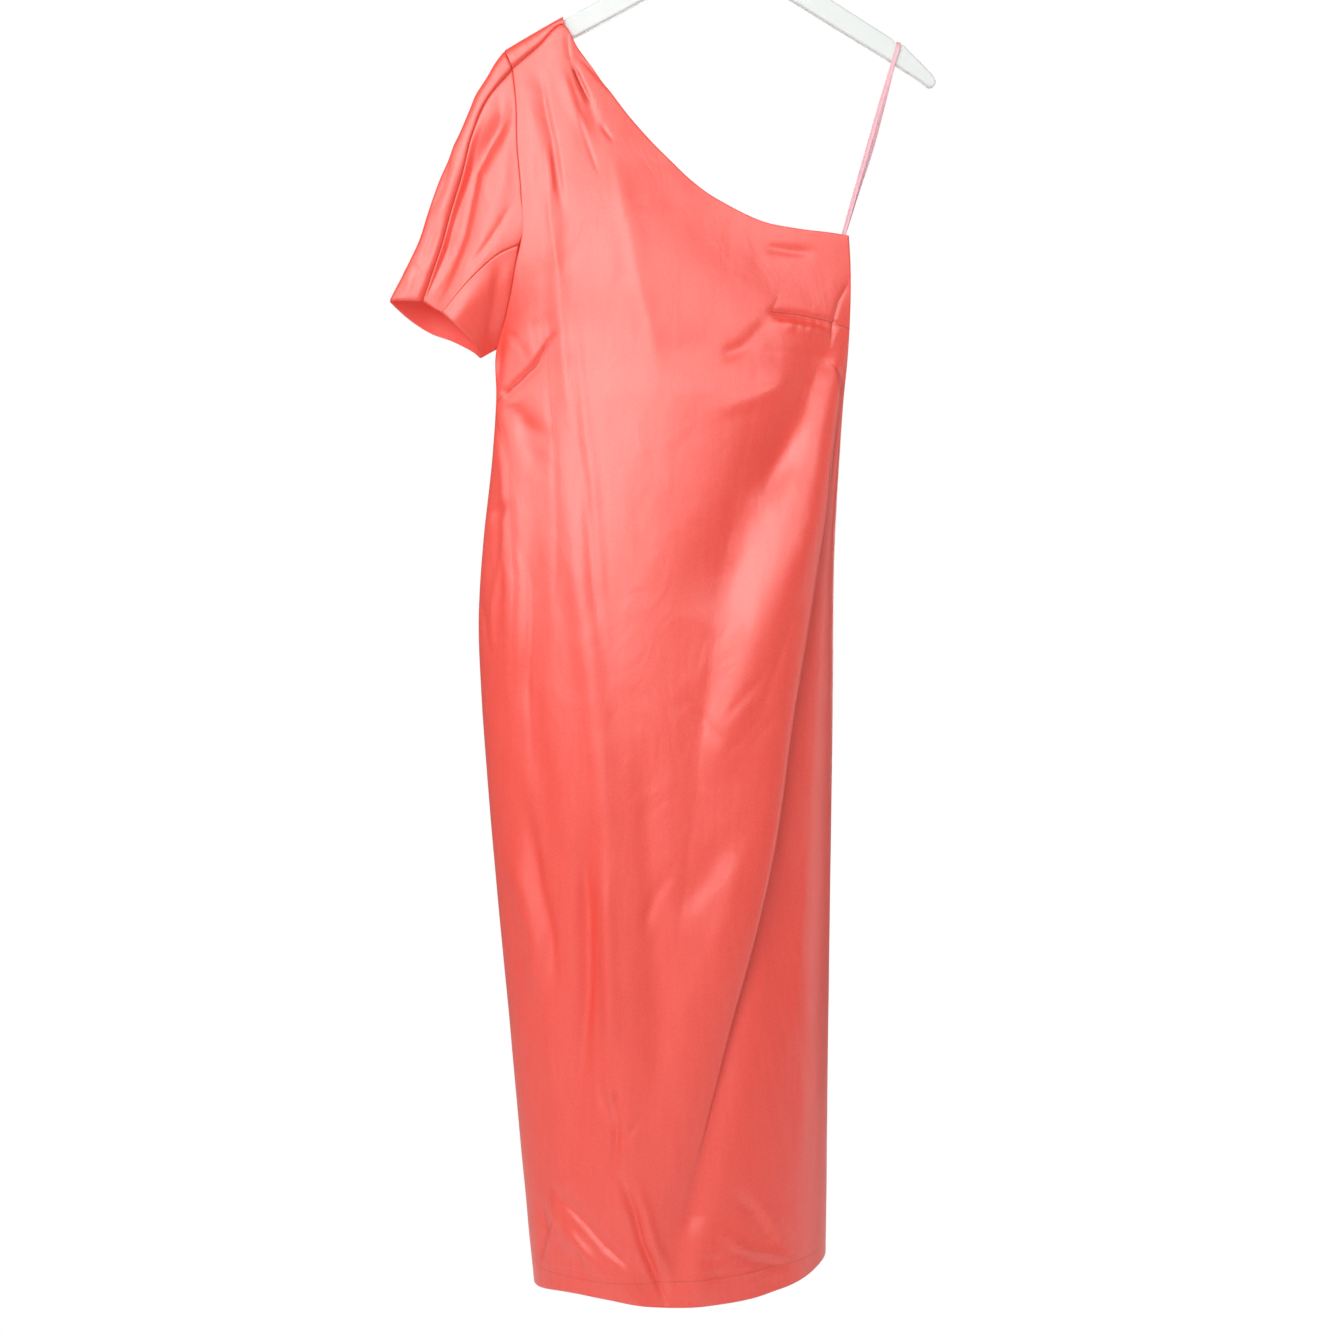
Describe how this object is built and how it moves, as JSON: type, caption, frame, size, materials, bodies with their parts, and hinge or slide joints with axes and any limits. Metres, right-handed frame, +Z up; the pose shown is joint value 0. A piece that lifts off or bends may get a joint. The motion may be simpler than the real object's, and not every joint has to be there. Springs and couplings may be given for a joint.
{
  "type": "one-shoulder dress on a hanger",
  "caption": "Long sheath dress with one short sleeve and a slanting neckline, hung from a flat hanger with its strapless corner on a ribbon loop.",
  "frame": {"origin": "inner top of the hook's bend, where it rests on a rail", "axes": "+Z up, the dress's front towards -Y, +X to the viewer's right as seen from the front"},
  "size_m": [0.5626, 0.1907, 1.4725],
  "materials": {
    "front": "satin",
    "back": "satin",
    "sleeve_front": "satin",
    "sleeve_back": "satin",
    "sleeve_gusset": "satin",
    "hanger_loop": "satin ribbon",
    "hanger": "smooth",
    "hanger_hook": "plain wire"
  },
  "bodies": {
    "root": {"front": "front", "back": "back", "sleeve_front": "sleeve_front", "sleeve_back": "sleeve_back", "sleeve_gusset": "sleeve_gusset", "hanger_loop": "hanger_loop", "hanger": "hanger", "hanger_hook": "hanger_hook"}
  },
  "joints": []
}
